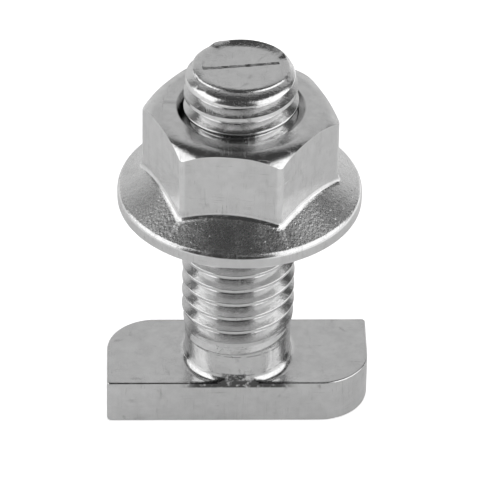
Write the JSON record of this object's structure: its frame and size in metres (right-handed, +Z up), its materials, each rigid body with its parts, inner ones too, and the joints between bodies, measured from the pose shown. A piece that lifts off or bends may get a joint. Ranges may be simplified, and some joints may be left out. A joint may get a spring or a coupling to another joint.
{
  "type": "t-slot bolt with flange nut",
  "caption": "Hammer-head bolt for a T-slot: the head drops in, turns to lock under the slot's lips, and the flange nut clamps a part on it.",
  "frame": {"origin": "centre of the hammer head's underside", "axes": "+Z up the shank to the threaded end, +X along the head, -Y to the front"},
  "size_m": [0.023, 0.0212, 0.0349],
  "materials": {
    "bolt_steel": "bright zinc plated",
    "nut_steel": "bright zinc plated"
  },
  "bodies": {
    "bolt": {"t_bolt": "bolt_steel"},
    "nut": {"flange_nut": "nut_steel"}
  },
  "joints": [
    {"name": "nut_travel", "type": "slide", "parent": "bolt", "child": "nut", "axis": [0, 0, 1], "range_m": [-0.0135, 0.0135]}
  ]
}
